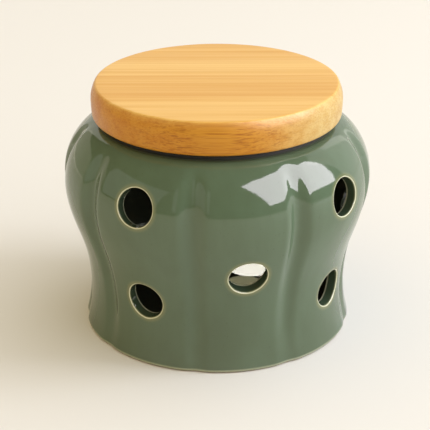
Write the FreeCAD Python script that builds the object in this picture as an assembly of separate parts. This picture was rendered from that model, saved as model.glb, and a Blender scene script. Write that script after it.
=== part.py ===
import FreeCAD
import Part
import math
import os

from FreeCAD import Vector

# Garlic keeper: a lobed stoneware jar with round vent holes, closed by a bamboo lid whose plug
# and silicone ring sit in the mouth.  Millimetres, +Z up.  The origin is the middle of the foot
# on the surface that the jar stands on, and the front of the jar faces -Y.
# Azimuths are degrees from the front, towards +X.

# Jar, outside.  Radii are measured at the crest of a lobe.
jar_height = 88.7
foot_radius = 55.1
waist_radius = 52.8
waist_height = 21.5
flank_radius = 55.1
flank_height = 36.0
chest_radius = 60.4
chest_height = 52.0
belly_radius = 61.9
belly_height = 66.5
shoulder_radius = 57.4
shoulder_height = 78.6
brow_radius = 52.8
brow_height = 83.4
collar_radius = 46.6
collar_height = 86.2

# Lobes, unevenly wide because the jar is formed by hand, with a narrow groove between each two.
# The grooves are listed once round from the seam.  They die out at the collar.
groove_azimuths = [-234.5, -197.0, -157.0, -115.0, -84.5, -53.0, -9.0, 30.5, 76.5]
groove_half_width = 6.0
groove_depth_foot = 0.7
groove_depth_waist = 1.6
groove_depth_belly = 3.0
groove_depth_shoulder = 1.9
lobe_swell_share = 0.15
inside_groove_share = 0.7

# Jar, wall and floor
wall = 4.7
floor_thickness = 6.0
inside_corner_radius = 6.0
foot_edge_radius = 1.2
foot_ring_width = 7.0
foot_recess_depth = 2.0
foot_recess_corner = 0.8

# Mouth and lip
mouth_radius = 42.0
neck_depth = 6.5
lip_width = 4.0
lip_edge_radius = 1.5

# Vent holes, as azimuth and height of each middle on the outer face
vent_radius = 7.5
vent_edge_radius = 0.8
vent_flare_angle = 45.0
front_vents = [(-30.3, 69.7), (-31.7, 27.2), (12.0, 41.8), (53.0, 67.3), (57.2, 24.2)]
back_vents = [(144.0, 41.8), (185.0, 69.7), (183.0, 27.2), (220.0, 59.0)]

# Lid disc
lid_radius = 50.0
lid_thickness = 13.1
lid_widest_below_top = 5.5
lid_side_bulge = 0.5
lid_top_edge_radius = 1.2
lid_bottom_edge_radius = 1.3

# Silicone ring: a band in the plug's groove with two fins that reach for the mouth
fin_thickness = 0.9
fin_gap = 1.2
ring_fit = 0.05
ring_side_clearance = 0.15
ring_to_mouth_clearance = 0.3
band_below_plug_face = 0.3

# Plug under the lid
plug_clearance = 1.6
plug_depth = 7.0
plug_edge_chamfer = 1.0
ring_groove_depth = 1.8
ring_groove_below_lid = 1.6

# How finely the lobed skin is drawn, and how closely edges and faces are matched when looked for
steps_in_groove = 4
steps_on_lobe = 3
skin_sections = 13
bend_sections = 5
edge_search = 0.1
tolerance = 0.000001

grooves_before = [groove_azimuths[-1] - 360] + groove_azimuths
grooves_after = groove_azimuths + [groove_azimuths[0] + 360]
crest_azimuths = [(before + after) / 2 for before, after in zip(grooves_before, grooves_after)]
vent_reach = 2 * wall
plug_radius = mouth_radius - plug_clearance
ring_height = 2 * fin_thickness + fin_gap
ring_groove_width = ring_height + 2 * ring_side_clearance
ring_groove_bottom = jar_height - ring_groove_below_lid - ring_groove_width


def profile_curve():
    # Crest line of the outer face, from the foot to the collar, as (radius, 0, height).
    points = [
        Vector(foot_radius, 0, 0),
        Vector(waist_radius, 0, waist_height),
        Vector(flank_radius, 0, flank_height),
        Vector(chest_radius, 0, chest_height),
        Vector(belly_radius, 0, belly_height),
        Vector(shoulder_radius, 0, shoulder_height),
        Vector(brow_radius, 0, brow_height),
        Vector(collar_radius, 0, collar_height),
    ]
    curve = Part.BSplineCurve()
    curve.interpolate(points)
    return curve


def crest_point(curve, distance, depth=0.0):
    # Point that far along the crest line, and that deep behind the outer face.
    parameter = curve.parameterAtDistance(distance, curve.FirstParameter)
    tangent = curve.tangent(parameter)[0]
    return curve.value(parameter) - Vector(tangent.z, 0, -tangent.x) * depth


def distance_at_height(curve, height, depth=0.0):
    # Distance along the crest line at which the point that deep behind it has this height.
    low = 0.0
    high = curve.length()
    while high - low > tolerance:
        middle = (low + high) / 2
        if crest_point(curve, middle, depth).z < height:
            low = middle
        else:
            high = middle
    return (low + high) / 2


def groove_depth_at(height):
    # Depth of the grooves at one height, eased between the named levels.
    levels = [
        (0.0, groove_depth_foot),
        (waist_height, groove_depth_waist),
        (belly_height, groove_depth_belly),
        (shoulder_height, groove_depth_shoulder),
        (collar_height, 0.0),
    ]
    for (low, low_depth), (high, high_depth) in zip(levels, levels[1:]):
        if height <= high:
            share = max(0.0, (height - low) / (high - low))
            return high_depth + bell(share) * (low_depth - high_depth)
    return 0.0


def bell(share):
    # 1 at a share of nothing, easing to 0 at a share of one.
    return (1 + math.cos(math.pi * min(share, 1.0))) / 2


def groove_shape(azimuth):
    # 1 in the middle of a groove and 0 on a crest: a narrow bell and a little of a wide one.
    seam = crest_azimuths[0]
    turned = seam + (azimuth - seam) % 360
    for before, groove, after in zip(crest_azimuths, groove_azimuths, crest_azimuths[1:]):
        if turned <= after:
            away = abs(turned - groove)
            half_lobe = groove - before if turned < groove else after - groove
            narrow = bell(away / groove_half_width)
            return narrow + lobe_swell_share * (bell(away / half_lobe) - narrow)
    return 0.0


def lobed_point(radius, depth, azimuth, height):
    # Point of a lobed outline whose crests are at that radius and whose grooves are that deep.
    here = radius - depth * groove_shape(azimuth)
    angle = math.radians(azimuth)
    return Vector(here * math.sin(angle), -here * math.cos(angle), height)


def skin_point(curve, azimuth, height):
    # Point of the jar's outer face.
    crest = crest_point(curve, distance_at_height(curve, height))
    return lobed_point(crest.x, groove_depth_at(height), azimuth, height)


def section_azimuths():
    # Azimuths of the points of a lobed outline, once round from the seam, closest in the grooves.
    azimuths = []
    for before, groove, after in zip(crest_azimuths, groove_azimuths, crest_azimuths[1:]):
        stops = [before, groove - groove_half_width, groove, groove + groove_half_width, after]
        counts = [steps_on_lobe, steps_in_groove, steps_in_groove, steps_on_lobe]
        for start, end, count in zip(stops, stops[1:], counts):
            azimuths += [start + (end - start) * index / count for index in range(count)]
    return azimuths


def lobed_section(radius, depth, height):
    # Closed smooth outline of the lobed jar at one height.
    azimuths = section_azimuths()
    points = [lobed_point(radius, depth, azimuth, height) for azimuth in azimuths]
    turns = azimuths + [azimuths[0] + 360]
    curve = Part.BSplineCurve()
    curve.interpolate(Points=points, PeriodicFlag=True, Parameters=turns)
    return Part.Wire([curve.toShape()])


def lobed_loft(curve, first, last, depth, groove_share):
    # Closed body through sections between two distances along the crest line, that deep behind it.
    sections = []
    for index in range(skin_sections):
        distance = first + (last - first) * index / (skin_sections - 1)
        point = crest_point(curve, distance, depth)
        groove = groove_depth_at(crest_point(curve, distance).z) * groove_share
        sections.append(lobed_section(point.x, groove, point.z))
    return Part.makeLoft(sections, True, False)


def rounded_base(curve, distance, depth, groove_share, radius):
    # Short body under the section at that distance, whose wall bends in to a flat base.
    top = crest_point(curve, distance, depth)
    groove = groove_depth_at(crest_point(curve, distance).z) * groove_share
    sections = []
    for index in range(bend_sections):
        turn = math.radians(90 * index / (bend_sections - 1))
        inset = radius * (1 - math.sin(turn))
        drop = radius * math.cos(turn)
        sections.append(lobed_section(top.x - inset, groove, top.z - drop))
    return Part.makeLoft(sections, True, False)


def lobed_body(curve, bottom, last, depth, groove_share, base_radius):
    # Lobed body from a flat base with a rounded edge up to a distance along the crest line.
    first = distance_at_height(curve, bottom + base_radius, depth)
    body = lobed_loft(curve, first, last, depth, groove_share)
    return body.fuse(rounded_base(curve, first, depth, groove_share, base_radius))


def tube(outer_radius, inner_radius, bottom, height):
    outer = Part.makeCylinder(outer_radius, height, Vector(0, 0, bottom))
    return outer.cut(Part.makeCylinder(inner_radius, height, Vector(0, 0, bottom)))


def edges_above(shape, height):
    return [edge for edge in shape.Edges if edge.BoundBox.ZMin > height]


def edges_below(shape, height):
    return [edge for edge in shape.Edges if edge.BoundBox.ZMax < height]


def lip_ring():
    # Neck and rounded lip, with a narrow flat on top for the lid to rest on.
    ring = tube(mouth_radius + lip_width, mouth_radius, jar_height - neck_depth, neck_depth)
    return ring.makeFillet(lip_edge_radius, edges_above(ring, jar_height - lip_edge_radius))


def hollow(curve):
    # Space inside the jar, a wall's thickness inside the outer face, from the floor to the neck.
    last = distance_at_height(curve, jar_height - neck_depth, wall)
    return lobed_body(curve, floor_thickness, last, wall, inside_groove_share, inside_corner_radius)


def mouth_cut():
    depth = neck_depth + wall
    return Part.makeCylinder(mouth_radius, depth, Vector(0, 0, jar_height - depth))


def foot_recess():
    inner = foot_radius - foot_ring_width
    depth = foot_recess_depth + edge_search
    recess = Part.makeCylinder(inner, depth, Vector(0, 0, -edge_search))
    return recess.makeFillet(foot_recess_corner, edges_above(recess, foot_recess_depth - edge_search))


def vent_outline(rim_level):
    # Half outline of a punch that flares from just under the rim, as (radius, 0, level).
    slope = math.radians(vent_flare_angle)
    start = rim_level - vent_edge_radius

    def on_bend(angle):
        radius = vent_radius + vent_edge_radius * (1 - math.cos(angle))
        return Vector(radius, 0, start + vent_edge_radius * math.sin(angle))

    bend_end = on_bend(slope)
    top_radius = bend_end.x + (wall - bend_end.z) * math.tan(slope)
    corners = [
        Vector(bend_end.x, 0, bend_end.z),
        Vector(top_radius, 0, wall),
        Vector(0, 0, wall),
        Vector(0, 0, -vent_reach),
        Vector(vent_radius, 0, -vent_reach),
        Vector(vent_radius, 0, start),
    ]
    edges = [Part.LineSegment(a, b).toShape() for a, b in zip(corners, corners[1:])]
    bend = Part.Arc(corners[-1], on_bend(slope / 2), bend_end).toShape()
    return Part.Wire(edges + [bend])


def vent_cutter(curve, azimuth, height):
    # Round punch square to the wall at one place.
    middle = skin_point(curve, azimuth, height)
    half_width = math.degrees(vent_radius / math.hypot(middle.x, middle.y))
    left = skin_point(curve, azimuth - half_width, height)
    right = skin_point(curve, azimuth + half_width, height)
    below = skin_point(curve, azimuth, height - vent_radius)
    above = skin_point(curve, azimuth, height + vent_radius)
    outward = (right - left).cross(above - below).normalize()
    rim_level = ((left + right + below + above) / 4 - middle).dot(outward)
    punch = Part.Face(vent_outline(rim_level)).revolve(Vector(0, 0, 0), Vector(0, 0, 1), 360)
    punch.Placement = FreeCAD.Placement(middle, FreeCAD.Rotation(Vector(0, 0, 1), outward))
    return punch


def all_vents(curve):
    return [vent_cutter(curve, azimuth, height) for azimuth, height in front_vents + back_vents]


def jar():
    curve = profile_curve()
    body = lobed_body(curve, 0.0, curve.length(), 0.0, 1.0, foot_edge_radius).fuse(lip_ring())
    body = body.cut([hollow(curve), mouth_cut(), foot_recess()])
    return body.cut(all_vents(curve))


def lid_disc():
    bottom = jar_height
    top = jar_height + lid_thickness
    set_back = lid_radius - lid_side_bulge
    side = Part.Arc(
        Vector(set_back, 0, bottom),
        Vector(lid_radius, 0, top - lid_widest_below_top),
        Vector(set_back, 0, top),
    ).toShape()
    outline = [
        Part.LineSegment(Vector(0, 0, bottom), Vector(set_back, 0, bottom)).toShape(),
        side,
        Part.LineSegment(Vector(set_back, 0, top), Vector(0, 0, top)).toShape(),
        Part.LineSegment(Vector(0, 0, top), Vector(0, 0, bottom)).toShape(),
    ]
    face = Part.Face(Part.Wire(outline))
    disc = face.revolve(Vector(0, 0, 0), Vector(0, 0, 1), 360)
    disc = disc.makeFillet(lid_top_edge_radius, edges_above(disc, top - edge_search))
    return disc.makeFillet(lid_bottom_edge_radius, edges_below(disc, bottom + edge_search))


def lid_plug():
    bottom = jar_height - plug_depth
    plug = Part.makeCylinder(plug_radius, plug_depth, Vector(0, 0, bottom))
    plug = plug.makeChamfer(plug_edge_chamfer, edges_below(plug, bottom + edge_search))
    groove = tube(mouth_radius, plug_radius - ring_groove_depth, ring_groove_bottom, ring_groove_width)
    return plug.cut(groove)


def seal_ring():
    bottom = ring_groove_bottom + ring_side_clearance
    fin_radius = mouth_radius - ring_to_mouth_clearance
    band_radius = plug_radius - band_below_plug_face
    ring = tube(fin_radius, plug_radius - ring_groove_depth + ring_fit, bottom, ring_height)
    return ring.cut(tube(mouth_radius, band_radius, bottom + fin_thickness, fin_gap))


os.makedirs("parts", exist_ok=True)
pieces = {
    "jar": jar(),
    "lid_disc": lid_disc(),
    "lid_plug": lid_plug(),
    "seal_ring": seal_ring(),
}
for name, shape in pieces.items():
    box = shape.BoundBox
    corners = [round(value, 2) for value in (box.XMin, box.XMax, box.YMin, box.YMax, box.ZMin, box.ZMax)]
    print(name, shape.isValid(), len(shape.Solids), round(shape.Volume, 1), corners)
    shape.exportStep("parts/" + name + ".step")
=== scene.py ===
import math

import bmesh
import bpy
import numpy as np
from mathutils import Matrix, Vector


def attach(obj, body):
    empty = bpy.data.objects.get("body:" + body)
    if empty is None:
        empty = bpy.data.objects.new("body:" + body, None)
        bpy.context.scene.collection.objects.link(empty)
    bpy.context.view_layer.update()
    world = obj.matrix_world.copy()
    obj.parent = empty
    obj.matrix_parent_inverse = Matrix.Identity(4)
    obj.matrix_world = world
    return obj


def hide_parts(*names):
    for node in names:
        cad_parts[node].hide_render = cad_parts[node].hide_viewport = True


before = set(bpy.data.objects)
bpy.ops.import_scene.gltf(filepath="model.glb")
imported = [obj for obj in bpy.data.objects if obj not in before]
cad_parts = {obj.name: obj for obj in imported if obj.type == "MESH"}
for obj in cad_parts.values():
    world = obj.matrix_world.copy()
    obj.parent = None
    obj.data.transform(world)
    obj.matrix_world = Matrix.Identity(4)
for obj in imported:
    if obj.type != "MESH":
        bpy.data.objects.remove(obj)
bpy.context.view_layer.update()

mm = 0.001
print("frame loaded")


def lengthsAlong(line):
    # Length from the start of a line to each of its points.
    return np.concatenate([[0.0], np.cumsum(np.hypot(*np.diff(line, axis=0).T))])


def splineThrough(corners, count):
    # Smooth line through a few corners. Each end leans as the cubic through its four nearest
    # corners does.
    corners = np.array(corners, float)
    steps = lengthsAlong(corners)
    gaps = np.diff(steps)
    last = len(gaps)
    at = np.linspace(0.0, steps[-1], count)
    piece = np.clip(np.searchsorted(steps, at) - 1, 0, last - 1)
    before = at - steps[piece]
    after = steps[piece + 1] - at
    gap = gaps[piece]
    line = []
    for value in corners.T:
        slopes = np.diff(value) / gaps
        left = np.zeros((last + 1, last + 1))
        right = np.zeros(last + 1)
        for i in range(1, last):
            left[i, i - 1:i + 2] = gaps[i - 1], 2 * (gaps[i - 1] + gaps[i]), gaps[i]
            right[i] = 6 * (slopes[i] - slopes[i - 1])
        left[0, :2] = 2 * gaps[0], gaps[0]
        left[last, -2:] = gaps[-1], 2 * gaps[-1]
        right[0] = 6 * (slopes[0] - np.polyfit(steps[:4] - steps[0], value[:4], 3)[2])
        right[last] = 6 * (np.polyfit(steps[-4:] - steps[-1], value[-4:], 3)[2] - slopes[-1])
        bend = np.linalg.solve(left, right)
        a, b = bend[piece], bend[piece + 1]
        line.append(
            a * after ** 3 / (6 * gap) + b * before ** 3 / (6 * gap)
            + (value[piece] / gap - a * gap / 6) * after
            + (value[piece + 1] / gap - b * gap / 6) * before
        )
    return np.array(line).T


def arcPoints(centre, radius, start, end, count):
    # Points of an arc in a (radius, height) section; angles in degrees, 0 outwards and 90 up.
    angles = np.radians(np.linspace(start, end, count))
    return [(centre[0] + radius * math.cos(a), centre[1] + radius * math.sin(a)) for a in angles]


def joinLoops(bm, loops):
    # Bands of faces from each closed loop to the next, which has as many vertices.
    for lower, upper in zip(loops, loops[1:]):
        for i in range(len(lower)):
            j = (i + 1) % len(lower)
            bm.faces.new((lower[i], lower[j], upper[j], upper[i]))


def newObject(name, mesh, material):
    piece = bpy.data.objects.new(name, mesh)
    bpy.context.scene.collection.objects.link(piece)
    mesh.materials.append(material)
    for face in mesh.polygons:
        face.use_smooth = True
    return piece


jar = {  # millimetres and degrees; azimuth 0 faces the front and grows to the right
    "crestLine": [  # (radius, height) up the middle of a lobe
        (55.1, 0.0), (52.8, 21.5), (55.1, 36.0), (60.4, 52.0),
        (61.9, 66.5), (57.4, 78.6), (52.8, 83.4), (46.6, 86.2),
    ],
    "height": 88.7,
    "grooveAzimuths": [-234.5, -197.0, -157.0, -115.0, -84.5, -53.0, -9.0, 30.5, 76.5],
    "grooveHalfWidth": 6.0,
    "grooveDepths": [  # (height, depth)
        (0.0, 0.7), (21.5, 1.6), (66.5, 3.0), (78.6, 1.9), (86.2, 0.0),
    ],
    "lobeSwell": 0.15,  # share of a groove's depth that spreads over the whole lobe
    "insideGroove": 0.7,  # depth inside, as a share of the outer depth
    "wall": 4.7,
    "floor": 6.0,
    "floorCorner": 6.0,
    "floorEase": 0.6,  # share of the inside grooves that runs out over the floor
    "footEdge": 1.2,
    "footRing": 7.0,
    "footRecess": 2.0,
    "recessRound": 1.2,
    "mouth": 42.0,
    "lipWidth": 4.0,
    "lipRound": 1.6,
    "collar": [(0.12, 0.28), (0.0, 0.62)],  # (out from the lip, up from the end of the crest line)
    "neck": [(0.0, 85.6), (0.0, 84.0), (0.1, 83.2), (0.6, 82.55)],  # (out from the mouth, height)
    "neckFoot": 82.2,
    "vent": 7.5,  # radius
    "ventRim": 0.8,
    "frontVents": [(-30.3, 69.7), (-31.7, 27.2), (12.0, 41.8), (53.0, 67.3), (57.2, 24.2)],
    "backVents": [(-216.0, 41.8), (-175.0, 69.7), (-177.0, 27.2), (-140.0, 59.0)],
    "ventBlock": 10.1,  # half the side of the block of cells that a vent takes from the mesh
    "grooveSteps": 6,
    "columnStep": 2.1,
    "rowStep": 2.0,
}
farFromRim = 10.0  # gap to the nearest vent rim that is written where no vent is near
insideGap = -6.0  # and on the whole inside

crest = splineThrough(jar["crestLine"], 3000)
crestLength = lengthsAlong(crest)
crestLean = np.gradient(crest, crestLength, axis=0)


def bell(share):
    # 1 at a share of nothing, easing to 0 at a share of one.
    return (1 + np.cos(math.pi * np.minimum(share, 1.0))) / 2


def groovesAt(height):
    # Groove depth at each height, eased from one named level to the next.
    levels = np.array(jar["grooveDepths"])
    height = np.clip(height, levels[0, 0], levels[-1, 0])
    step = np.clip(np.searchsorted(levels[:, 0], height, side="right") - 1, 0, len(levels) - 2)
    share = (height - levels[step, 0]) / (levels[step + 1, 0] - levels[step, 0])
    return levels[step + 1, 1] + bell(share) * (levels[step, 1] - levels[step + 1, 1])


def lobeShape(azimuth):
    # 1 in the middle of a groove and 0 on a crest: a narrow bell and a little of a wide one.
    grooves = np.array(jar["grooveAzimuths"])
    turned = grooves[0] + (np.asarray(azimuth, float) - grooves[0]) % 360
    stops = np.append(grooves, grooves[0] + 360)
    lobe = np.clip(np.searchsorted(stops, turned, side="right") - 1, 0, len(grooves) - 1)
    away = np.minimum(turned - stops[lobe], stops[lobe + 1] - turned)
    halfLobe = (stops[lobe + 1] - stops[lobe]) / 2
    narrow = bell(away / jar["grooveHalfWidth"])
    return narrow + jar["lobeSwell"] * (bell(away / halfLobe) - narrow)


def columnAzimuths():
    # Azimuths of the mesh columns, closest together in the grooves.
    grooves = jar["grooveAzimuths"]
    half, steps = jar["grooveHalfWidth"], jar["grooveSteps"]
    found = []
    for groove, following in zip(grooves, grooves[1:] + [grooves[0] + 360]):
        found += list(groove + half * np.arange(-steps, steps) / steps)
        wide = following - groove - 2 * half
        count = int(round(wide / jar["columnStep"]))
        found += list(groove + half + wide * np.arange(count) / count)
    return np.array(found)


def onWall(azimuth, distance, depth=0.0):
    # Points of the wall's outer face, or of its inner face at the wall's depth, by azimuth and by
    # distance up the crest line.
    radius = np.interp(distance, crestLength, crest[:, 0])
    height = np.interp(distance, crestLength, crest[:, 1])
    leanOut = np.interp(distance, crestLength, crestLean[:, 0])
    leanUp = np.interp(distance, crestLength, crestLean[:, 1])
    groove = groovesAt(height) * (jar["insideGroove"] if depth else 1.0)
    here = radius - leanUp * depth - groove * lobeShape(azimuth)
    angle = np.radians(azimuth)
    return np.stack([
        here * np.sin(angle), -here * np.cos(angle), height + leanOut * depth + 0 * angle,
    ], -1)


def distanceAtHeight(height, depth=0.0):
    heights = crest[:, 1] + crestLean[:, 0] * depth
    return float(np.interp(height, heights, crestLength))


azimuths = columnAzimuths()
columns = len(azimuths)
lobes = lobeShape(azimuths)


def addVert(bm, point, gap=farFromRim, clay=0.0):
    # Vertex that carries its gap to the nearest vent rim and how bare its clay is.
    vert = bm.verts.new(Vector(point) * mm)
    vert[bm.verts.layers.float["rimGap"]] = gap
    vert[bm.verts.layers.float["bare"]] = clay
    return vert


def lobedRing(bm, radius, height, groove=0.0, gap=farFromRim, clay=0.0):
    ring = []
    for r, a in zip(radius - groove * lobes, np.radians(azimuths)):
        ring.append(addVert(bm, (r * math.sin(a), -r * math.cos(a), height), gap, clay))
    return ring


def wallRing(bm, distance, depth=0.0, gap=farFromRim):
    return [addVert(bm, p, gap) for p in onWall(azimuths, np.full(columns, distance), depth)]


def footRings(bm, firstDistance):
    # Recess under the jar, the bare standing ring and its rounded edge.
    edge, recess, bend = jar["footEdge"], jar["footRecess"], jar["recessRound"]
    recessRadius = jar["crestLine"][0][0] - jar["footRing"]
    groove = jar["grooveDepths"][0][1]
    rings = [lobedRing(bm, radius, recess) for radius in np.linspace(6, recessRadius - 3, 6)]
    for radius, height in arcPoints((recessRadius - bend, recess - bend), bend, 90, 0, 4):
        rings.append(lobedRing(bm, radius, height))
    for out, height in ((0.1, 0.2), (0.4, 0.0)):
        rings.append(lobedRing(bm, recessRadius + out, height, clay=1.0))
    for share in (0.25, 0.5, 0.75):
        radius = recessRadius + share * (jar["footRing"] - edge)
        rings.append(lobedRing(bm, radius, 0.0, groove * share, clay=1.0))
    edgeRadius = np.interp(firstDistance, crestLength, crest[:, 0]) - edge
    for angle, clay in ((-90, 1.0), (-65, 1.0), (-45, 0.7), (-22, 0.25)):
        out, up = math.cos(math.radians(angle)), math.sin(math.radians(angle))
        rings.append(lobedRing(bm, edgeRadius + edge * out, edge + edge * up, groove, clay=clay))
    return rings


def neckRings(bm):
    # From the end of the crest line over the lip and down the mouth.
    mouth, top, bend = jar["mouth"], jar["height"], jar["lipRound"]
    lipOut = mouth + jar["lipWidth"]
    section = [(lipOut + out, crest[-1][1] + up) for out, up in jar["collar"]]
    section += arcPoints((lipOut - bend, top - bend), bend, 0, 90, 6)
    section += arcPoints((mouth + bend, top - bend), bend, 90, 180, 6)
    section += [(mouth + out, height) for out, height in jar["neck"]]
    return [lobedRing(bm, radius, height) for radius, height in section]


def floorRings(bm, lowest):
    # Corner between the inside wall and the floor, then the floor inwards.
    corner = jar["floorCorner"]
    cornerTop = jar["floor"] + corner
    outside = np.interp(lowest, crestLength, crest[:, 0]) - jar["wall"]
    groove = float(groovesAt(np.array(cornerTop))) * jar["insideGroove"]
    rings = []
    for radius, height in arcPoints((outside - corner, cornerTop), corner, 0, -90, 7)[1:]:
        rings.append(lobedRing(bm, radius, height, groove, insideGap))
    for radius in np.linspace(outside - corner - 4, 5, 6):
        left = groove * radius / outside * jar["floorEase"]
        rings.append(lobedRing(bm, radius, jar["floor"], left, insideGap))
    return rings


def ventBlocks(distances):
    # Azimuth and distance of each vent, with the columns and rows round the cells that it takes.
    blocks = []
    half = jar["ventBlock"]
    for azimuth, height in jar["frontVents"] + jar["backVents"]:
        distance = distanceAtHeight(height)
        reach = math.degrees(half / float(np.linalg.norm(onWall(azimuth, distance)[:2])))
        left, right = np.searchsorted(azimuths, (azimuth - reach, azimuth + reach))
        low, high = np.searchsorted(distances, (distance - half, distance + half))
        blocks.append((azimuth, distance, int(left) - 1, int(right), int(low) - 1, int(high)))
    return blocks


def inVent(blocks, column, row):
    for azimuth, distance, left, right, low, high in blocks:
        if low <= row < high and (column - left) % columns < right - left:
            return True
    return False


def blockEdge(face, left, right, low, high):
    # Vertices round a block of cells, from its lower left corner along the bottom.
    loop = [face[low][c % columns] for c in range(left, right)]
    loop += [face[r][right % columns] for r in range(low, high)]
    loop += [face[high][c % columns] for c in range(right, left, -1)]
    loop += [face[r][left % columns] for r in range(high, low, -1)]
    return loop


def ventPlane(azimuth, distance):
    # Middle of a vent on the outer face, and the directions sideways, up and outwards there.
    here = onWall(azimuth, distance)
    across = onWall(azimuth + 5, distance) - onWall(azimuth - 5, distance)
    upwards = onWall(azimuth, distance + 5) - onWall(azimuth, distance - 5)
    outward = np.cross(across, upwards)
    outward /= np.linalg.norm(outward)
    up = upwards - outward * np.dot(upwards, outward)
    up /= np.linalg.norm(up)
    return here, np.cross(up, outward), up, outward


def bentLine(start, corner, end, share):
    # Points at a share of the way along curves from start to end that the corner pulls.
    return (1 - share) ** 2 * start + 2 * share * (1 - share) * corner + share ** 2 * end


def addVent(bm, outer, inner, block):
    # Leads the edges of the block to the round hole, and joins the two faces through it.
    azimuth, distance, *cells = block
    here, side, up, outward = ventPlane(azimuth, distance)

    def flat(points):
        away = points - here
        return np.stack([away @ side, away @ up], -1)

    def lifted(places, depth=0.0):
        # Points of the wall that lie over these places in the vent's own plane.
        radius = np.linalg.norm(here[:2])
        turn = azimuth + np.degrees(places[:, 0] / radius)
        along = distance + places[:, 1]
        for attempt in range(12):
            missed = places - flat(onWall(turn, along, depth))
            turn = turn + np.degrees(missed[:, 0] / radius)
            along = along + missed[:, 1]
        return onWall(turn, along, depth)

    def addLoop(points, gaps):
        pairs = zip(points, np.broadcast_to(gaps, len(points)))
        loops.append([addVert(bm, point, gap) for point, gap in pairs])

    hole, rim, wall = jar["vent"], jar["ventRim"], jar["wall"]
    outerEdge, innerEdge = blockEdge(outer, *cells), blockEdge(inner, *cells)
    outerPlaces = flat(np.array([v.co / mm for v in outerEdge]))
    innerPlaces = flat(np.array([v.co / mm for v in innerEdge]))
    for vert, place in zip(outerEdge, outerPlaces):
        vert[bm.verts.layers.float["rimGap"]] = min(farFromRim, np.hypot(*place) - hole)
    count = len(outerEdge)
    even = np.arange(count) * 2 * math.pi / count
    even += np.mean(np.unwrap(np.arctan2(outerPlaces[:, 1], outerPlaces[:, 0])) - even)
    circle = np.stack([np.cos(even), np.sin(even)], -1)
    wide = circle * (hole + rim)

    loops = [outerEdge]
    for share in (0.62, 0.28):
        places = wide + (outerPlaces - wide) * share
        addLoop(lifted(places), np.hypot(*places.T) - hole)
    start, corner = lifted(wide), lifted(circle * hole)
    end = corner - outward * rim
    for share in (0.0, 0.3, 0.55, 0.8, 1.0):
        addLoop(bentLine(start, corner, end, share), rim * (1 - 2 * share))
    inStart, inCorner = lifted(wide, wall), lifted(circle * hole, wall)
    inEnd = inCorner + outward * rim
    addLoop((end + inEnd) / 2, -2.5)
    for share in (1.0, 0.75, 0.45, 0.0):
        addLoop(bentLine(inStart, inCorner, inEnd, share), -3.0 - 1.5 * (1 - share))
    addLoop(lifted(wide + (innerPlaces - wide) * 0.5, wall), -5.0)
    joinLoops(bm, loops + [innerEdge])


def jarMesh():
    bm = bmesh.new()
    for layer in ("rimGap", "bare"):
        bm.verts.layers.float.new(layer)
    wall = jar["wall"]
    firstDistance = distanceAtHeight(jar["footEdge"])
    rows = int(round((crestLength[-1] - firstDistance) / jar["rowStep"]))
    distances = np.linspace(firstDistance, crestLength[-1], rows + 1)
    lowest = distanceAtHeight(jar["floor"] + jar["floorCorner"], wall)
    highest = distanceAtHeight(jar["neckFoot"], wall)

    under = addVert(bm, (0, 0, jar["footRecess"]))
    foot = footRings(bm, firstDistance)
    outer = [wallRing(bm, distance) for distance in distances]
    neck = neckRings(bm)
    inner = {row: wallRing(bm, distance, wall, insideGap)  # on the outer face's own rows
             for row, distance in enumerate(distances) if lowest < distance < highest}
    floor = floorRings(bm, lowest)
    middle = addVert(bm, (0, 0, jar["floor"]), insideGap)

    blocks = ventBlocks(distances)
    for row in range(rows):
        for column in range(columns):
            if inVent(blocks, column, row):
                continue
            after = (column + 1) % columns
            low, high = outer[row], outer[row + 1]
            bm.faces.new((low[column], low[after], high[after], high[column]))
            if row in inner and row + 1 in inner:
                low, high = inner[row], inner[row + 1]
                bm.faces.new((low[column], high[column], high[after], low[after]))
    for i in range(columns):
        after = (i + 1) % columns
        bm.faces.new((under, foot[0][after], foot[0][i]))
        bm.faces.new((middle, floor[-1][i], floor[-1][after]))
    joinLoops(bm, foot + [outer[0]])
    joinLoops(bm, [outer[-1]] + neck + [inner[max(inner)]])
    joinLoops(bm, [inner[min(inner)]] + floor)
    for block in blocks:
        addVent(bm, outer, inner, block)

    loose = [v for v in bm.verts if not v.link_faces]
    bmesh.ops.delete(bm, geom=loose, context="VERTS")
    bmesh.ops.recalc_face_normals(bm, faces=bm.faces)
    openEdges = [e for e in bm.edges if len(e.link_faces) != 2]
    print("jar mesh:", len(bm.faces), "faces,", len(openEdges), "open edges,",
          "volume", bm.calc_volume() / mm ** 3)
    mesh = bpy.data.meshes.new("jarBody")
    bm.to_mesh(mesh)
    bm.free()
    return mesh


def startMaterial(name):
    made = bpy.data.materials.new(name)
    made.use_nodes = True
    tree = made.node_tree
    return made, tree, tree.nodes["Principled BSDF"]


def addNode(tree, kind, inputs=None, **settings):
    # Node of one kind. An input that is another node's output is linked, and any other is set.
    made = tree.nodes.new(kind)
    for name, value in settings.items():
        setattr(made, name, value)
    for key, value in (inputs or {}).items():
        if isinstance(value, bpy.types.NodeSocket):
            tree.links.new(value, made.inputs[key])
        else:
            made.inputs[key].default_value = value
    return made


def calculate(tree, operation, first, second=0.0, third=0.0):
    inputs = {0: first, 1: second, 2: third}
    return addNode(tree, "ShaderNodeMath", inputs, operation=operation).outputs[0]


def spread(tree, value, low, high, lowTo=0.0, highTo=1.0):
    # The value's range from low to high, spread smoothly over another range.
    node = addNode(tree, "ShaderNodeMapRange", {
        "Value": value, "From Min": low, "From Max": high, "To Min": lowTo, "To Max": highTo,
    }, interpolation_type="SMOOTHSTEP")
    return node.outputs["Result"]


def band(tree, value, start, full, ease, end, top=1.0):
    # Rises from 0 at start to the top at full, and falls from ease back to 0 at end.
    rise = spread(tree, value, start, full)
    return calculate(tree, "MULTIPLY", rise, spread(tree, value, ease, end, top, 0.0))


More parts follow.
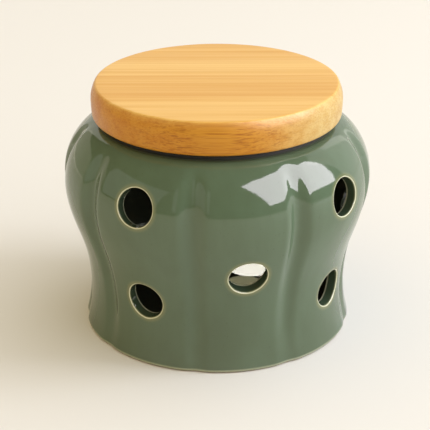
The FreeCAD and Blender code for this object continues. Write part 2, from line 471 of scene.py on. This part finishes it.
def mixColours(tree, share, first, second, blend="MIX"):
    node = addNode(tree, "ShaderNodeMix", data_type="RGBA", blend_type=blend)
    for index, value in ((0, share), (6, first), (7, second)):
        if isinstance(value, bpy.types.NodeSocket):
            tree.links.new(value, node.inputs[index])
        else:
            node.inputs[index].default_value = value if index == 0 else (*value, 1)
    return node.outputs[2]


def stretchedNoise(tree, place, size, detail=2.0, roughness=0.5):
    # Noise whose blobs have these sizes in millimetres along X, Y and Z.
    stretched = addNode(tree, "ShaderNodeVectorMath", {
        0: place, 1: tuple(1 / (mm * each) for each in size),
    }, operation="MULTIPLY").outputs[0]
    node = addNode(tree, "ShaderNodeTexNoise", {
        "Vector": stretched, "Scale": 1.0, "Detail": detail, "Roughness": roughness,
    })
    return node.outputs["Fac"]


def addBump(tree, shader, height, distance, strength):
    bump = addNode(tree, "ShaderNodeBump", {
        "Height": height, "Distance": distance * mm, "Strength": strength})
    tree.links.new(bump.outputs[0], shader.inputs["Normal"])


glaze = {
    "colour": (0.097, 0.136, 0.077),
    "deepColour": (0.076, 0.100, 0.052),
    "speckColour": (0.045, 0.050, 0.025),
    # cream of the thinned glaze, also used as a painted highlight at the inner vent rims
    "paleLineAndHighlight": (0.62, 0.60, 0.40),
    "rimHalo": (0.235, 0.225, 0.095),
    # painted shade on the walls through the vents
    "tube": (0.045, 0.066, 0.037),
    # painted shade on the inside of the jar
    "inside": (0.075, 0.080, 0.052),
    # painted shadow under the lip
    "lipShadow": (0.013, 0.011, 0.006),
    "clay": (0.30, 0.20, 0.105),
    "clayGrain": (0.15, 0.085, 0.04),
    "roughness": (0.07, 0.75),  # glossy glaze, bare clay
    "clouds": (16, 16, 26),  # sizes of the patterns
    "runs": (4, 4, 30),
    "specks": (0.9, 0.9, 0.9),
    "wander": (3, 3, 3),
    "grains": (0.5, 0.5, 0.5),
    "waves": (11, 11, 17),
    "peel": (1.1, 1.1, 1.1),
    "waveDepth": 0.16,
    "peelDepth": 0.006,
    "lowFade": (0, 50, 0.55, 0.0),  # heights, and how deep the colour is at each
    "haloFade": (0.3, 2.4, 0.55, 0.0),  # gaps from the rim, and how strong the halo is at each
    "tubeFade": (-0.9, -0.2),
    "insideFade": (-4.4, -5.2),
    "rimBand": (-0.30, 0.0, 0.22, 0.62),
    "innerRimLineAndHighlight": (-3.9, -3.4, -3.2, -2.9, 0.8),
    "footBand": (0.4, 0.8, 1.0, 1.8, 0.4),
    # heights and radii of the painted shadow under the lip
    "lipShadowBand": (85.6, 86.6, 87.6, 88.3),
    "lipShadowRadius": (45.0, 45.7),
}


def glazeMaterial():
    made, tree, shader = startMaterial("sageGlaze")
    place = addNode(tree, "ShaderNodeTexCoord").outputs["Object"]
    parts = addNode(tree, "ShaderNodeSeparateXYZ", {0: place})
    height = calculate(tree, "DIVIDE", parts.outputs["Z"], mm)
    gap = addNode(tree, "ShaderNodeAttribute", attribute_name="rimGap").outputs["Fac"]
    bare = addNode(tree, "ShaderNodeAttribute", attribute_name="bare").outputs["Fac"]
    clouds = stretchedNoise(tree, place, glaze["clouds"], 3.0)
    runs = stretchedNoise(tree, place, glaze["runs"])
    specks = stretchedNoise(tree, place, glaze["specks"], 1.0)

    # a little thicker and browner low down and in clouds, with a few fine iron specks
    low = spread(tree, height, *glaze["lowFade"])
    deep = calculate(tree, "ADD", low, spread(tree, clouds, 0.35, 0.7, -0.12, 0.3))
    colour = mixColours(tree, deep, glaze["colour"], glaze["deepColour"])
    streaks = spread(tree, runs, 0.3, 0.75, 0.0, 0.16)
    colour = mixColours(tree, streaks, colour, glaze["deepColour"])
    dots = spread(tree, specks, 0.70, 0.76, 0.0, 0.2)
    colour = mixColours(tree, dots, colour, glaze["speckColour"])

    # round each vent the glaze breaks to a cream line inside an olive halo
    waver = stretchedNoise(tree, place, glaze["wander"], 1.0)
    wander = spread(tree, waver, 0.3, 0.7, -0.06, 0.06)
    edge = calculate(tree, "ADD", gap, wander)
    colour = mixColours(tree, spread(tree, edge, *glaze["haloFade"]), colour, glaze["rimHalo"])
    # painted shade: the walls through each vent are a darker green than the glaze
    colour = mixColours(tree, spread(tree, edge, *glaze["tubeFade"]), glaze["tube"], colour)
    colour = mixColours(tree, band(tree, edge, *glaze["rimBand"]), colour, glaze["paleLineAndHighlight"])
    # the same cream at the inner rim: partly glaze breaking over the edge, partly a painted
    # highlight
    colour = mixColours(tree, band(tree, gap, *glaze["innerRimLineAndHighlight"]), colour, glaze["paleLineAndHighlight"])
    # painted shade: the inside of the jar is a darker, greyer green than the glaze
    colour = mixColours(tree, spread(tree, gap, *glaze["insideFade"]), colour, glaze["inside"])

    # just above the standing edge the glaze thins to a pale line
    clear = spread(tree, gap, 8.0, 9.5)
    footLine = calculate(tree, "MULTIPLY", band(tree, height, *glaze["footBand"]), clear)
    colour = mixColours(tree, footLine, colour, glaze["paleLineAndHighlight"])

    # the standing edge is bare clay, with grains in it
    grains = stretchedNoise(tree, place, glaze["grains"])
    grains = spread(tree, grains, 0.45, 0.7, 0.0, 0.6)
    clay = mixColours(tree, grains, glaze["clay"], glaze["clayGrain"])
    ragged = calculate(tree, "ADD", bare, calculate(tree, "MULTIPLY", wander, 0.4))
    clayShare = spread(tree, ragged, 0.45, 0.62)
    colour = mixColours(tree, clayShare, colour, clay)

    # painted shadow under the lip, where the lid's shade falls: a dark colour there, and the glaze
    # there is dull
    outwards = addNode(tree, "ShaderNodeVectorMath", {
        0: place, 1: (1 / mm, 1 / mm, 0)}, operation="MULTIPLY").outputs[0]
    radius = addNode(tree, "ShaderNodeVectorMath", {
        0: outwards}, operation="LENGTH").outputs["Value"]
    lipShadow = calculate(tree, "MULTIPLY", band(tree, height, *glaze["lipShadowBand"]),
                         spread(tree, radius, *glaze["lipShadowRadius"]))
    colour = mixColours(tree, lipShadow, colour, glaze["lipShadow"])
    dull = calculate(tree, "MAXIMUM", clayShare, lipShadow)
    tree.links.new(colour, shader.inputs["Base Color"])
    tree.links.new(spread(tree, dull, 0.0, 1.0, *glaze["roughness"]), shader.inputs["Roughness"])
    shader.inputs["IOR"].default_value = 1.52

    # slow waves in the glaze and the finest orange peel
    waves = stretchedNoise(tree, place, glaze["waves"], 1.0)
    peel = stretchedNoise(tree, place, glaze["peel"], 1.0)
    surface = calculate(tree, "MULTIPLY_ADD", peel, glaze["peelDepth"],
                        calculate(tree, "MULTIPLY", waves, glaze["waveDepth"]))
    addBump(tree, shader, surface, 1.0, 1.0)
    return made


jarBody = newObject("jarBody", jarMesh(), glazeMaterial())
smooth = jarBody.modifiers.new("smooth", "SUBSURF")
smooth.levels = smooth.render_levels = 1
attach(jarBody, "jar")
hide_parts("jar")
print("jar done")

lid = {  # millimetres
    "radius": 50.0,
    "clearance": 0.02,  # how far the side stays inside that radius
    "bottom": 88.7,
    "top": 101.8,
    "widestBelowTop": 6.3,
    "topRound": 1.1,
    "bottomRound": 1.2,
    "bulgeAbove": 1.8,
    "bulgeBelow": 0.4,
    "faceRadii": [15, 30, 40, 45],  # rings of the flat faces
    "columns": 144,
}
bamboo = {
    "light": (0.775, 0.465, 0.124),
    "dark": (0.66, 0.326, 0.050),
    "streak": (0.40, 0.15, 0.020),
    "side": (0.74, 0.53, 0.13),
    # painted highlight on the side towards +X
    "sideHighlight": (0.74, 0.86, 1.15),
    "planks": [(-60, 0.30), (-21.5, 0.62), (6.0, 0.20), (21.0, 0.55)],  # (its start, its tone)
    "broad": (260, 4.0, 4.0),  # sizes of the patterns, long along the grain
    "fine": (110, 0.6, 0.6),
    "hairs": (70, 0.33, 0.33),
    "pores": (55, 1.1, 0.7),
    "sideHighlightFrom": 10,  # the side goes pale from here to there along the grain, a painted highlight
    "sideHighlightTo": 46,
    "roughness": (0.36, 0.5),
    "specular": 0.15,
    "lacquer": 0.35,
    "lacquerRoughness": 0.26,
}


def bambooMaterial(name, turned=0.0):
    # Strips of bamboo glued side by side: one solid pattern, with dots on its ends.
    made, tree, shader = startMaterial(name)
    place = addNode(tree, "ShaderNodeTexCoord").outputs["Object"]
    if turned:
        place = addNode(tree, "ShaderNodeVectorRotate", {
            "Vector": place, "Angle": math.radians(turned),
        }, rotation_type="Z_AXIS").outputs[0]
    parts = addNode(tree, "ShaderNodeSeparateXYZ", {0: place})
    along = calculate(tree, "DIVIDE", parts.outputs["X"], mm)
    across = calculate(tree, "DIVIDE", parts.outputs["Y"], mm)
    tone = 0.0
    for start, level in bamboo["planks"]:
        inPlank = calculate(tree, "GREATER_THAN", across, start)
        tone = addNode(tree, "ShaderNodeMix", {0: inPlank, 2: tone, 3: level}).outputs[0]
    broad = stretchedNoise(tree, place, bamboo["broad"], 1.0)
    fine = stretchedNoise(tree, place, bamboo["fine"], 2.0, 0.6)
    hairs = stretchedNoise(tree, place, bamboo["hairs"], 1.0)
    pores = stretchedNoise(tree, place, bamboo["pores"], 2.0, 0.6)
    shade = calculate(tree, "ADD", tone, spread(tree, broad, 0.25, 0.75, -0.35, 0.35))
    shade = calculate(tree, "ADD", shade, spread(tree, fine, 0.25, 0.75, -0.32, 0.32))
    shade = calculate(tree, "ADD", shade, spread(tree, hairs, 0.55, 0.8, 0.0, 0.7))
    colour = mixColours(tree, shade, bamboo["light"], bamboo["dark"])

    # the side shows dark pores, most of all on the end grain, and is tinted darker and more orange
    # than the top; towards +X the tint turns pale, a painted highlight
    normal = addNode(tree, "ShaderNodeNewGeometry").outputs["Normal"]
    facing = addNode(tree, "ShaderNodeSeparateXYZ", {0: normal})
    onSide = spread(tree, facing.outputs["Z"], 0.25, 0.85, 1.0, 0.0)
    endOn = calculate(tree, "ABSOLUTE", facing.outputs["Y"])
    streaks = calculate(tree, "MULTIPLY", spread(tree, pores, 0.46, 0.72), onSide)
    streaks = calculate(tree, "MULTIPLY", streaks, spread(tree, endOn, 0.75, 1.0, 0.22, 0.75))
    colour = mixColours(tree, streaks, colour, bamboo["streak"])
    # painted highlight: the side's tint turns pale towards +X
    paintedSideHighlight = spread(tree, along, bamboo["sideHighlightFrom"], bamboo["sideHighlightTo"])
    sideTintAndHighlight = mixColours(tree, paintedSideHighlight, bamboo["side"], bamboo["sideHighlight"])
    sideWithHighlight = mixColours(tree, 1.0, colour, sideTintAndHighlight, "MULTIPLY")
    colour = mixColours(tree, onSide, colour, sideWithHighlight)

    tree.links.new(colour, shader.inputs["Base Color"])
    roughness = spread(tree, fine, 0.3, 0.7, *bamboo["roughness"])
    tree.links.new(roughness, shader.inputs["Roughness"])
    shader.inputs["Specular IOR Level"].default_value = bamboo["specular"]
    shader.inputs["Coat Weight"].default_value = bamboo["lacquer"]
    shader.inputs["Coat Roughness"].default_value = bamboo["lacquerRoughness"]
    addBump(tree, shader, fine, 0.05, 0.6)
    return made


def turnedMesh(name, section, columns):
    # Closed turned body; the section runs from the axis at the bottom round to the axis at the top.
    bm = bmesh.new()
    angles = np.arange(columns) * 2 * math.pi / columns
    rings = []
    for radius, height in section[1:-1]:
        circle = [(radius * math.cos(a), radius * math.sin(a), height) for a in angles]
        rings.append([bm.verts.new(Vector(point) * mm) for point in circle])
    low = bm.verts.new((0, 0, section[0][1] * mm))
    high = bm.verts.new((0, 0, section[-1][1] * mm))
    for i in range(columns):
        j = (i + 1) % columns
        bm.faces.new((low, rings[0][j], rings[0][i]))
        bm.faces.new((high, rings[-1][i], rings[-1][j]))
    joinLoops(bm, rings)
    mesh = bpy.data.meshes.new(name)
    bm.to_mesh(mesh)
    bm.free()
    return mesh


def lidSide(height):
    # Radius of the bulged side at a height.
    bottom, top = lid["bottom"], lid["top"]
    widest = top - lid["widestBelowTop"]
    reach, bulge = widest - bottom, lid["bulgeBelow"]
    if height > widest:
        reach, bulge = top - widest, lid["bulgeAbove"]
    return lid["radius"] - lid["clearance"] - bulge * ((height - widest) / reach) ** 2


def lidCorner(edge, radius, bulge, turn):
    # Rounding that leaves the side smoothly, and the height where it starts; turn is 1 at the top
    # and -1 at the bottom.
    widest = lid["top"] - lid["widestBelowTop"]
    lean = math.atan(2 * bulge / abs(edge - widest))
    start = edge - turn * radius * (1 - math.sin(lean))
    centre = (lidSide(start) - radius * math.cos(lean), edge - turn * radius)
    return arcPoints(centre, radius, turn * math.degrees(lean), turn * 90, 7), start


def lidSection():
    bottom, top, radii = lid["bottom"], lid["top"], lid["faceRadii"]
    lowArc, lowStart = lidCorner(bottom, lid["bottomRound"], lid["bulgeBelow"], -1)
    highArc, highStart = lidCorner(top, lid["topRound"], lid["bulgeAbove"], 1)
    section = [(radius, bottom) for radius in [0] + radii]
    section += lowArc[::-1]
    section += [(lidSide(height), height) for height in np.linspace(lowStart, highStart, 13)[1:-1]]
    section += highArc
    return section + [(radius, top) for radius in radii[::-1] + [0]]


board = turnedMesh("lidBoard", lidSection(), lid["columns"])
lidBoard = newObject("lidBoard", board, bambooMaterial("bambooBoard"))
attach(lidBoard, "lid")
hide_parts("lid_disc")

silicone = {
    "colour": (0.78, 0.77, 0.72),
    "dust": (0.62, 0.60, 0.54),
    "clouds": (5, 5, 1.2),
    "grain": (0.3, 0.3, 0.3),
    "roughness": (0.28, 0.45),
    "milkiness": 0.4,
    "milkyDepth": 1.5,
}


def siliconeMaterial():
    made, tree, shader = startMaterial("milkySilicone")
    place = addNode(tree, "ShaderNodeTexCoord").outputs["Object"]
    clouds = stretchedNoise(tree, place, silicone["clouds"], 3.0)
    dust = spread(tree, clouds, 0.35, 0.75)
    colour = mixColours(tree, dust, silicone["colour"], silicone["dust"])
    roughness = spread(tree, clouds, 0.3, 0.7, *silicone["roughness"])
    tree.links.new(colour, shader.inputs["Base Color"])
    tree.links.new(roughness, shader.inputs["Roughness"])
    shader.inputs["Subsurface Weight"].default_value = silicone["milkiness"]
    shader.inputs["Subsurface Radius"].default_value = (1.0, 1.0, 1.0)
    shader.inputs["Subsurface Scale"].default_value = silicone["milkyDepth"] * mm
    addBump(tree, shader, stretchedNoise(tree, place, silicone["grain"]), 0.03, 0.5)
    return made


hidden = {"lid_plug": bambooMaterial("bambooPlug", 90.0), "seal_ring": siliconeMaterial()}
for name, material in hidden.items():
    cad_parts[name].data.materials.clear()
    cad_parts[name].data.materials.append(material)
print("lid done")

stage = {  # metres and degrees
    "tableColour": (0.74, 0.705, 0.64),
    "tableFrom": (-3, -2.2),
    "tableTo": (3, 3),
    "roomLight": [  # direction, and the room's colour seen that way
        ((0, 0, 1), (0.77, 0.69, 0.54)),
        ((1, 0, 0), (1.62, 1.84, 2.30)),
        ((-1, 0, 0), (0.62, 0.47, 0.18)),
        ((0, 1, 0), (0.18, 0.18, 0.18)),
        ((0, -1, 0), (0.42, 0.38, 0.29)),
    ],
    "reflectedRoom": (0.10, 0.115, 0.09),
    "lampAim": (0, 0, 0.06),
    "roomLamps": [  # name, azimuth, elevation, distance, size, brightness, colour
        ("keyLight", 88, 25, 1.4, (0.6, 0.6), 9.8, (0.93, 1.0, 1.17)),
    ],
    "mirroredLamps": [
        ("softbox", 66.5, 36, 1.0, (1.09, 0.85), 9.0, (1.03, 0.96, 1.05)),
        ("windowLeft", -67, 20, 1.6, (1.6, 1.1), 0.55, (0.95, 1.0, 1.0)),
        ("windowFront", -20, 23, 1.6, (0.45, 1.1), 0.45, (0.95, 1.0, 1.0)),
        ("wallLeft", -125, 8, 1.6, (1.56, 0.8), 0.5, (1.0, 0.92, 0.75)),
        ("backdrop", 175, 22, 1.8, (2.3, 1.6), 0.8, (1.0, 0.96, 0.88)),
        ("wallRight", 127, 24, 1.6, (1.16, 1.5), 1.1, (1.0, 0.96, 0.90)),
    ],
    "patches": [  # name, place in mm, half width, turn, power, colour
        ("sunPatch", (14.6, 29.0, 78), 10.5, -14, 3.3, (0.83, 0.75, 1.0)),
        ("sunPatchEdge", (11.5, 10.0, 78), 9.0, -14, 0.55, (0.9, 0.8, 0.7)),
    ],
}


def addTable():
    made, tree, shader = startMaterial("creamTable")
    shader.inputs["Base Color"].default_value = (*stage["tableColour"], 1)
    shader.inputs["Roughness"].default_value = 0.9
    shader.inputs["Specular IOR Level"].default_value = 0.1
    (left, front), (right, back) = stage["tableFrom"], stage["tableTo"]
    corners = [(left, front, 0), (right, front, 0), (right, back, 0), (left, back, 0)]
    mesh = bpy.data.meshes.new("floor")
    mesh.from_pydata(corners, [], [(0, 1, 2, 3)])
    mesh.materials.append(made)
    table = bpy.data.objects.new("floor", mesh)
    bpy.context.scene.collection.objects.link(table)


def addRoom():
    # The room lights the jar from each side in its own colour, and is one dim tone in the glaze.
    world = bpy.data.worlds.new("room")
    bpy.context.scene.world = world
    world.use_nodes = True
    tree = world.node_tree
    tree.nodes.clear()
    path = addNode(tree, "ShaderNodeLightPath")
    direction = addNode(tree, "ShaderNodeTexCoord").outputs["Generated"]
    light = (0, 0, 0)
    for side, colour in stage["roomLight"]:
        towards = addNode(tree, "ShaderNodeVectorMath", {
            0: direction, 1: side}, operation="DOT_PRODUCT").outputs["Value"]
        part = addNode(tree, "ShaderNodeVectorMath", {
            0: colour, "Scale": calculate(tree, "MAXIMUM", towards)}, operation="SCALE").outputs[0]
        light = addNode(tree, "ShaderNodeVectorMath", {0: part, 1: light}).outputs[0]
    room = addNode(tree, "ShaderNodeBackground", {"Color": light, "Strength": 1.0})
    reflected = addNode(tree, "ShaderNodeBackground", {
        "Color": (*stage["reflectedRoom"], 1), "Strength": 1.0})
    mixed = addNode(tree, "ShaderNodeMixShader", {
        0: path.outputs["Is Glossy Ray"], 1: room.outputs[0], 2: reflected.outputs[0]})
    addNode(tree, "ShaderNodeOutputWorld", {"Surface": mixed.outputs[0]})


def addLamp(name, kind, power, colour):
    lamp = bpy.data.lights.new(name, kind)
    lamp.energy = power
    lamp.color = colour
    made = bpy.data.objects.new(name, lamp)
    bpy.context.scene.collection.objects.link(made)
    return lamp, made


def addArea(mirrored, name, azimuth, elevation, distance, size, brightness, colour):
    # Rectangular lamp that faces the jar, as seen from the jar at these angles. A mirrored lamp
    # only shows in the glaze, and any other only lights it.
    lamp, made = addLamp(name, "AREA", brightness * size[0] * size[1] * math.pi, colour)
    lamp.shape = "RECTANGLE"
    lamp.size, lamp.size_y = size
    a, e = math.radians(azimuth), math.radians(elevation)
    back = Vector((math.sin(a) * math.cos(e), -math.cos(a) * math.cos(e), math.sin(e)))
    made.location = Vector(stage["lampAim"]) + back * distance
    made.rotation_euler = back.to_track_quat("Z", "Y").to_euler()
    made.visible_diffuse = not mirrored
    made.visible_glossy = mirrored


def addPatch(name, place, halfWidth, turn, power, colour):
    # Square lamp that shines straight down on the inside floor.
    lamp, made = addLamp(name, "SPOT", power, colour)
    lamp.use_square = True
    lamp.spot_blend = 0.02
    lamp.spot_size = 2 * math.atan(halfWidth / (place[2] - jar["floor"]))
    lamp.shadow_soft_size = 0.3 * mm
    made.visible_glossy = False
    made.location = Vector(place) * mm
    made.rotation_euler = (0, 0, math.radians(turn))


addTable()
addRoom()
for lampValues in stage["roomLamps"]:
    addArea(False, *lampValues)
for lampValues in stage["mirroredLamps"]:
    addArea(True, *lampValues)
for patchValues in stage["patches"]:
    addPatch(*patchValues)
print("stage done")

camera = {  # millimetres and degrees
    "distance": 598.47,
    "elevation": 23.986,
    "targetHeight": 43.34,
    "side": -0.82,
    "roll": -0.145,
    "lens": 121.78,
    "sensor": 36,
    "nearest": 50,
    "farthest": 20000,
}
lens = bpy.data.cameras.new("camera")
lens.lens = camera["lens"]
lens.sensor_width = camera["sensor"]
lens.clip_start = camera["nearest"] * mm
lens.clip_end = camera["farthest"] * mm
viewer = bpy.data.objects.new("camera", lens)
bpy.context.scene.collection.objects.link(viewer)
tilt = math.radians(camera["elevation"])
viewer.location = Vector((
    camera["side"],
    -camera["distance"] * math.cos(tilt),
    camera["targetHeight"] + camera["distance"] * math.sin(tilt),
)) * mm
viewer.rotation_euler = (math.radians(90) - tilt, 0, 0)
viewer.rotation_euler.rotate_axis("Z", math.radians(camera["roll"]))
bpy.context.scene.camera = viewer
bpy.context.scene.view_settings.view_transform = "Standard"
print("camera done")
